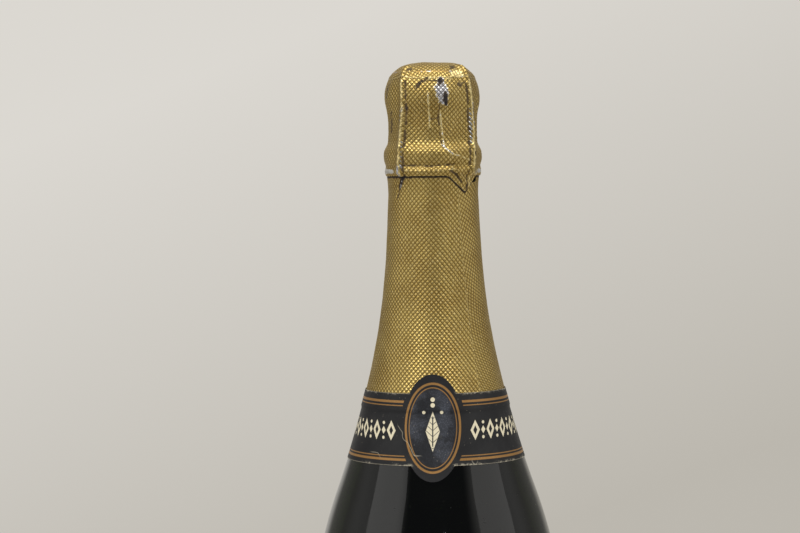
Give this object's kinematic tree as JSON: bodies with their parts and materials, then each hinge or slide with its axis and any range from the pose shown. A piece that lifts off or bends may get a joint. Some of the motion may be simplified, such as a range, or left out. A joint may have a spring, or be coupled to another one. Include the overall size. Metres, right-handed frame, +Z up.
{
  "type": "sparkling wine bottle",
  "caption": "Full sparkling wine bottle of dark green glass with labels, a gold foil over its neck, and a cork held by a wire cage that untwists and lifts off.",
  "frame": {"origin": "middle of the base, on the surface that the bottle stands on", "axes": "+Z up the bottle's axis, -Y out of the front label, +X to the right seen from the front"},
  "size_m": [0.0886, 0.0888, 0.32],
  "materials": {
    "green_glass": "dark green bottle glass, smooth and glossy",
    "wine": null,
    "foil": "embossed gold lacquered foil, worn to bare metal on its ridges",
    "label_paper": "black paper with gold print, slightly scuffed",
    "agglomerate_cork": "pressed cork grains",
    "natural_cork": "natural cork with pores",
    "plaque_tin": "gold lacquered tin plate",
    "cage_wire": "zinc coated soft iron wire"
  },
  "bodies": {
    "bottle": {"bottle_glass": "green_glass", "wine": "wine", "foil_skirt": "foil", "neck_label": "label_paper", "front_label": "label_paper", "back_label": "label_paper"},
    "cork": {"cork_body": "agglomerate_cork", "cork_disc_upper": "natural_cork", "cork_disc_lower": "natural_cork"},
    "cage": {"cage_cap": "plaque_tin", "cage_ring": "cage_wire"},
    "leg_1": {"cage_leg_1": "cage_wire", "belt_arc_1": "cage_wire"},
    "leg_2": {"cage_leg_2": "cage_wire", "belt_arc_2": "cage_wire"},
    "leg_3": {"cage_leg_3": "cage_wire", "belt_arc_3": "cage_wire"},
    "leg_4": {"cage_leg_4": "cage_wire", "belt_arc_4": "cage_wire"},
    "loop_root": {"loop_root": "cage_wire"},
    "loop": {"twist_loop": "cage_wire"},
    "foil": {"foil_hood": "foil"}
  },
  "joints": [
    {"name": "cork_pull", "type": "slide", "parent": "bottle", "child": "cork", "axis": [0, 0, 1], "range_m": [0, 0.06]},
    {"name": "cage_lift", "type": "slide", "parent": "cork", "child": "cage", "axis": [0, 0, 1], "range_m": [0, 0.05]},
    {"name": "foil_lift", "type": "slide", "parent": "cage", "child": "foil", "axis": [0, 0, 1], "range_m": [0, 0.06]},
    {"name": "leg_flare_1", "type": "hinge", "parent": "cage", "child": "leg_1", "pos_m": [0.00627, 0.00753, 0.3175], "axis": [0.7683, -0.6401, 0], "range_deg": [0, 4], "deforming": ["cage_leg_1", "belt_arc_1"]},
    {"name": "leg_flare_2", "type": "hinge", "parent": "cage", "child": "leg_2", "pos_m": [-0.00753, 0.00627, 0.3175], "axis": [0.6401, 0.7683, 0], "range_deg": [0, 4], "deforming": ["cage_leg_2", "belt_arc_2"]},
    {"name": "leg_flare_3", "type": "hinge", "parent": "cage", "child": "leg_3", "pos_m": [-0.00627, -0.00753, 0.3175], "axis": [-0.7683, 0.6401, 0], "range_deg": [0, 4], "deforming": ["cage_leg_3", "belt_arc_3"]},
    {"name": "leg_flare_4", "type": "hinge", "parent": "cage", "child": "leg_4", "pos_m": [0.00753, -0.00627, 0.3175], "axis": [-0.6401, -0.7683, 0], "range_deg": [0, 4], "deforming": ["cage_leg_4", "belt_arc_4"]},
    {"name": "loop_fold", "type": "hinge", "parent": "leg_1", "child": "loop_root", "pos_m": [-0.00143, 0.01573, 0.28385], "axis": [-0.9959, -0.0906, 0], "range_deg": [0, 90], "deforming": ["loop_root"]},
    {"name": "loop_untwist", "type": "hinge", "parent": "loop_root", "child": "loop", "pos_m": [-0.0015, 0.01648, 0.28825], "axis": [0, 0, 1], "range_deg": [0, 1080], "deforming": ["twist_loop"]}
  ],
  "couplings": [
    {"joint": "leg_flare_1", "follows": "loop_untwist", "ratio": 0.0037037},
    {"joint": "leg_flare_2", "follows": "loop_untwist", "ratio": 0.0037037},
    {"joint": "leg_flare_3", "follows": "loop_untwist", "ratio": 0.0037037},
    {"joint": "leg_flare_4", "follows": "loop_untwist", "ratio": 0.0037037}
  ]
}
